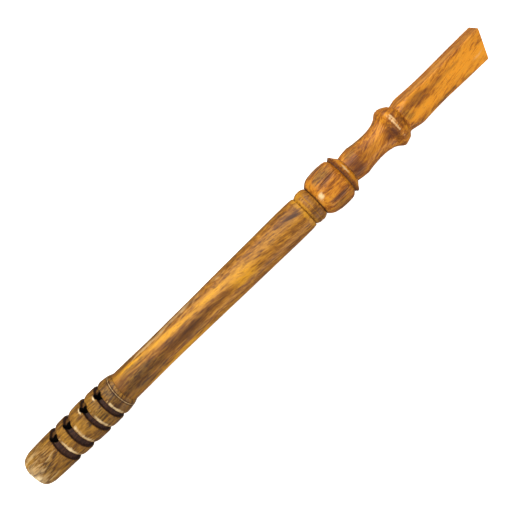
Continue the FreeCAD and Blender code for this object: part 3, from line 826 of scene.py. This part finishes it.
def scoop_weight(angle):
    """1 in the middle of the scoops cut in front and behind, and 0 on the sides."""
    return (0.5 + 0.5 * np.cos(np.radians(turn_from(angle, BLOCK_TURN - 45.0)) * 2)) ** 2


def neck_radius(along, angle):
    """The neck's swell, waist and scooped flare, with eight uneven knife facets round it."""
    plain = np.interp(along, NECK_STATIONS, NECK_RADII)
    flare = eased_step(along, 484.0, NECK_END)
    plain = plain - flare * SCOOP_DEPTH * scoop_weight(angle)
    facets = [(centre + 5 * math.sin(number * 1.7), plain * (0.972 + 0.01 * math.sin(number * 2.9)))
              for number, centre in enumerate(NECK_FACETS)]
    return softened_minimum(plain, facet_radius(angle, facets), 0.5)


def neck_shape(along, radius, angle):
    outside = eased_step(radius, 12.6, 14.0)
    carved = neck_radius(along, angle) + 0.1 * noise(along, radius, angle, 5.0, 61, 1.5)
    return along, radius + outside * (carved - radius)


neck = turned("head_neck_look", [
    (442.7, 15.1, 0.3), (457.4, 16.8), (475.0, 15.0), (NECK_END, 19.0, 0.1),
    (NECK_END, SPIGOT, 0.2), (SPIGOT_ENDS[1], SPIGOT, 0.4), (SPIGOT_ENDS[1], BORE, 0.3),
    (SPIGOT_ENDS[0], BORE, 0.3), (SPIGOT_ENDS[0], SPIGOT, 0.4), (442.7, SPIGOT, 0.2),
], 288, neck_shape, 0.6)
finish_piece(neck, "head", "head_neck", HEAD_WOOD, {
    "heart": [patch(449, -6, 12, 44, 1.0, 0.0, 0.25), patch(460, 8, 9, 20, 0.5),
              patch(466, 8, 18, 80, 0.35), patch(499, -6, 12, 30, 1.0, 0.0, 0.2)],
    "gold": [patch(482, 22, 22, 12, 0.7, 1.1), patch(472, -20, 16, 30, 0.4)],
    "olive": [patch(470, 80, 22, 18, 0.8), patch(453, 50, 10, 26, 0.5)],
    "stain_and_shade": [below(12.0), ring_band(442.6, 443.4, 0.4, 0.6)],
}, 30.0, drift=((442, 462, 500), (0, 0, -17)))

# how far the collar has risen to its rim, and how far it has fallen to the block behind it
RISE_STATIONS = (NECK_END, 499.6, 501.6, 503.7, COLLAR_RIM)
RISE = (0, 0.36, 0.7, 0.94, 1)
FALL_STATIONS = (COLLAR_RIM, 507.8, 510.0, 512.0, 514.0, 515.5, 517.0, BLOCK_START)
FALL = (0, 0.07, 0.17, 0.28, 0.42, 0.74, 0.94, 1)
COLLAR_ROUND = 23.7
COLLAR_SIDES = [(eighth * 45.0 + 3 * math.sin(eighth * 2.1),
                 23.2 + 0.35 * math.sin(eighth * 1.3 + 1)) for eighth in range(8)]


def collar_shape(along, radius, angle):
    """An eight-sided plate that grows out of the neck and falls back to the block."""
    outside = eased_step(radius, 13.0, 15.5)
    start = neck_radius(np.full(along.shape, NECK_END), angle)
    rise = np.interp(along, RISE_STATIONS, RISE)
    fall = np.interp(along + 0.3 - 1.2 * np.sin(angle), FALL_STATIONS, FALL)
    octagon = facet_radius(angle, COLLAR_SIDES)
    rim = softened_minimum(np.full(along.shape, COLLAR_ROUND), octagon, 0.4)
    carved = start + (rim - start) * rise
    carved = carved + (block_radius(BLOCK_START, angle) - carved) * fall
    chips = eased_step(noise(along, radius, angle, 2.6, 71), 0.0, 0.7)
    near_rim = np.exp(-((along - COLLAR_RIM) / 1.6) ** 2)
    carved = carved - 0.9 * chips * near_rim + 0.16 * noise(along, radius, angle, 5.0, 72)
    return along, radius + outside * (carved - radius)


BLOCK_STATIONS = (518.0, 522.0, 527.0, 532.0, 540.0, 548.0, 566.0, 600.0, 625.0)
BLOCK_HALVES = (15.0, 15.5, 15.95, 15.9, 15.5, 15.1, 14.75, 15.3, 15.6)


def block_radius(station, angle):
    """The mouth block's section: eased at the collar and squarer towards the mouth."""
    square = eased_step(station, 518.0, 533.0)
    half = np.interp(station, BLOCK_STATIONS, BLOCK_HALVES)
    softness = 15.0 - 11.8 * square
    sides = []
    for quarter in range(4):
        turn = np.radians(turn_from(angle, BLOCK_TURN - 45.0 + 90.0 * quarter))
        sides.append(np.where(np.abs(turn) < 1.2, half / np.maximum(np.cos(turn), 0.3), FAR_OUT))
    pair = softened_minimum(sides[0], sides[2], 0.01)
    other = softened_minimum(sides[1], sides[3], 0.01)
    return softened_minimum(pair, other, softness)


MOUTH_CENTRE = 630.45
MOUTH_SLOPE = (0.3427, -0.2128)
SLANT_START = 560.0


def block_shape(along, radius, angle):
    """The square section, with its far end sheared into the slanted mouth."""
    outside = eased_step(radius, 13.0, 14.0)
    carved = block_radius(along, angle) + 0.1 * noise(along, radius, angle, 11.0, 81, 2.0) - 0.05
    radius = radius + outside * (carved - radius)
    across, up = radius * np.sin(angle), radius * np.cos(angle)
    slant = MOUTH_SLOPE[0] * across + MOUTH_SLOPE[1] * up
    share = np.clip((along - SLANT_START) / (MOUTH_CENTRE - SLANT_START), 0, 1)
    return along + slant * share, radius


block = turned("mouth_block_look", [
    (BLOCK_START, 15.5, 0.2), (MOUTH_CENTRE, 15.9, 0.8), (MOUTH_CENTRE, BORE, 0.8),
    (530.0, BORE, 0.2), (530.0, SPIGOT_HOLE, 0.2), (BLOCK_START, SPIGOT_HOLE, 0.2),
], 320, block_shape, 0.8)
finish_piece(block, "head", "mouth_block", HEAD_WOOD, {
    "gold": [patch(606, -6, 60, 70, 1.0), patch(524, 44, 6, 10, 1.0, -2.0, 0.2),
             patch(575, 62, 80, 24, 0.7), patch(556, -28, 44, 26, 1.0),
             patch(545, 34, 26, 12, 0.7)],
    "heart": [patch(538, 16, 26, 16, 0.7), patch(568, 14, 26, 9, 0.5)],
    "olive": [patch(560, -46, 50, 7, 0.6), patch(522, 0, 7, 26, 0.5)],
    "pale_and_highlight": [patch(575, 62, 80, 20, 0.15), patch(615, -22, 16, 8, 0.2, 0.6)],
    "stain_and_shade": [below(11.0, high_station=626)],
}, 30.0, drift=((518, 640), (0, -24)))

collar = turned("head_collar_look", [
    (NECK_END, 16.5, 0.1), (COLLAR_RIM, 23.4), (BLOCK_START, 17.0, 0.1),
    (BLOCK_START, SPIGOT_HOLE, 0.2), (NECK_END, SPIGOT_HOLE, 0.2),
], 320, collar_shape, 0.45)
finish_piece(collar, "head", "head_collar", HEAD_WOOD, {
    "pale_and_highlight": [patch(504.9, 4, 1.5, 34, 0.55, 0.0, 0.8), patch(507.2, 20, 1.3, 22, 0.5, 0.0, 0.8)],
    "gold": [patch(504, 45, 7, 14, 0.6), patch(508, -55, 6, 20, 0.6)],
    "heart": [patch(500.0, -8, 5, 42, 1.0, 0.0, 0.2), patch(513, 5, 6, 36, 0.8, 0.0, 0.7),
              patch(503.0, 4, 1.2, 34, 0.8, 0.0, 0.3), patch(509.6, 2, 1.6, 40, 0.7, 0.0, 0.7),
              patch(502, -60, 4, 18, 0.5)],
}, 30.0, drift=((497, 518), (-16, -20)))


# ---------------------------------------------------------------- thread on the tenons

THREAD_PITCH = 0.62


def wound(start):
    """Reshape a plain ring into turns of thread lying side by side."""
    def shape(along, radius, angle):
        turns = (along - start) / THREAD_PITCH - angle / (2 * math.pi)
        bead = np.abs(np.sin(math.pi * turns))
        ends = eased_step(along, start, start + 0.5)
        ends = ends * (1 - eased_step(along, start + 8.4, start + 8.9))
        lift = eased_step(radius, 12.5, 12.9)
        return along, radius + lift * (0.32 * bead * ends - 0.34)
    return shape


for name, body, start in (("foot_lapping", "foot_thread", FOOT_THREAD),
                          ("head_lapping", "head_thread", HEAD_THREAD)):
    winding = turned(name + "_look", [
        (start + 0.05, 13.0, 0.1), (start + 8.95, 13.0, 0.1), (start + 8.95, 12.15, 0.1),
        (start + 0.05, 12.15, 0.1),
    ], 160, wound(start), 0.1)
    finish_piece(winding, body, name, THREAD, {})


# ---------------------------------------------------------------- floor, light and camera

def make_floor():
    """Pale paper under the pipe, which takes its shadow but throws no light back at it."""
    mesh = bpy.data.meshes.new("studio_floor")
    grid = bmesh.new()
    bmesh.ops.create_grid(grid, x_segments=8, y_segments=8, size=6.0)
    grid.to_mesh(mesh)
    grid.free()
    floor = add_object("studio_floor", mesh)
    floor.location = (0, 0, CAD_BOX[0].z - 0.0001)
    mesh.materials.append(floor_material())
    floor.visible_diffuse = False
    floor.visible_glossy = False


def make_area(name, spot, target, size, power, tint):
    """A rectangular softbox at a spot, turned to a target."""
    lamp = bpy.data.lights.new(name, "AREA")
    lamp.shape = "RECTANGLE"
    lamp.size, lamp.size_y = size
    lamp.energy = power
    lamp.color = tint
    holder = add_object(name, lamp)
    holder.location = spot
    holder.rotation_euler = (Vector(target) - Vector(spot)).to_track_quat("-Z", "Y").to_euler()


def make_world(low, top):
    """White air behind everything, and a softer light that fades towards the floor."""
    world = bpy.data.worlds.new("studio_air")
    world.use_nodes = True
    tree = world.node_tree
    tree.nodes.clear()
    place = tree.nodes.new("ShaderNodeTexCoord")
    split = tree.nodes.new("ShaderNodeSeparateXYZ")
    fade = tree.nodes.new("ShaderNodeMapRange")
    fade.inputs["From Min"].default_value = -0.1
    fade.inputs["From Max"].default_value = 0.9
    fade.inputs["To Min"].default_value = low
    fade.inputs["To Max"].default_value = top
    glow = tree.nodes.new("ShaderNodeBackground")
    plain = tree.nodes.new("ShaderNodeBackground")
    plain.inputs["Strength"].default_value = 1.0
    plain.inputs["Color"].default_value = (1, 1, 1, 1)
    seen = tree.nodes.new("ShaderNodeLightPath")
    pick = tree.nodes.new("ShaderNodeMixShader")
    output = tree.nodes.new("ShaderNodeOutputWorld")
    tree.links.new(place.outputs["Generated"], split.inputs[0])
    tree.links.new(split.outputs["Z"], fade.inputs["Value"])
    tree.links.new(fade.outputs["Result"], glow.inputs["Strength"])
    tree.links.new(seen.outputs["Is Camera Ray"], pick.inputs[0])
    tree.links.new(glow.outputs[0], pick.inputs[1])
    tree.links.new(plain.outputs[0], pick.inputs[2])
    tree.links.new(pick.outputs[0], output.inputs[0])
    bpy.context.scene.world = world


CAMERA_LEAN = 10.0
PIPE_SLANT = 44.18
CAMERA_DISTANCE = 0.597
CAMERA_TARGET = 0.0266  # along the pipe from its middle, in metres


def make_camera():
    """Over the middle of the pipe, leaning to +Y, with the pipe slanting up across the frame."""
    lean, across = math.radians(CAMERA_LEAN), math.radians(PIPE_SLANT)
    toward = Vector((0, math.sin(lean), math.cos(lean)))
    side = Vector((0, math.cos(lean), -math.sin(lean)))
    along = Vector((1, 0, 0))
    right = along * math.cos(across) - side * math.sin(across)
    up = along * math.sin(across) + side * math.cos(across)
    camera = bpy.data.cameras.new("studio_camera")
    camera.sensor_width = 36.0
    camera.lens = 40.8
    camera.shift_x, camera.shift_y = -0.04696, -0.04002
    camera.clip_start = 0.01
    holder = add_object("studio_camera", camera)
    spot = Vector((CAMERA_TARGET, 0, AXIS_HEIGHT)) + toward * CAMERA_DISTANCE
    holder.matrix_world = Matrix.Translation(spot) @ Matrix((
        (right.x, up.x, toward.x, 0), (right.y, up.y, toward.y, 0),
        (right.z, up.z, toward.z, 0), (0, 0, 0, 1)))
    bpy.context.scene.camera = holder


make_floor()
make_world(0.3, 0.8)
make_area("overhead_softbox", (0.0, 0.8, 1.2), (0, 0, 0), (1.2, 1.2), 21.0, (1.0, 0.99, 0.97))
make_area("window_softbox", (0.1, 1.3, 0.35), (0, 0, 0), (1.6, 0.6), 15.0, (1.0, 0.99, 0.97))
make_area("fill_softbox", (0.2, -1.2, 0.5), (0.05, 0, 0), (1.6, 0.6), 11.0, (1.0, 0.98, 0.95))
make_area("foot_key", (-1.2, -0.2, 0.36), (-0.1, 0, 0.02), (0.4, 0.3), 4.0, (1.0, 0.98, 0.94))
make_camera()
bpy.context.scene.view_settings.view_transform = "Standard"
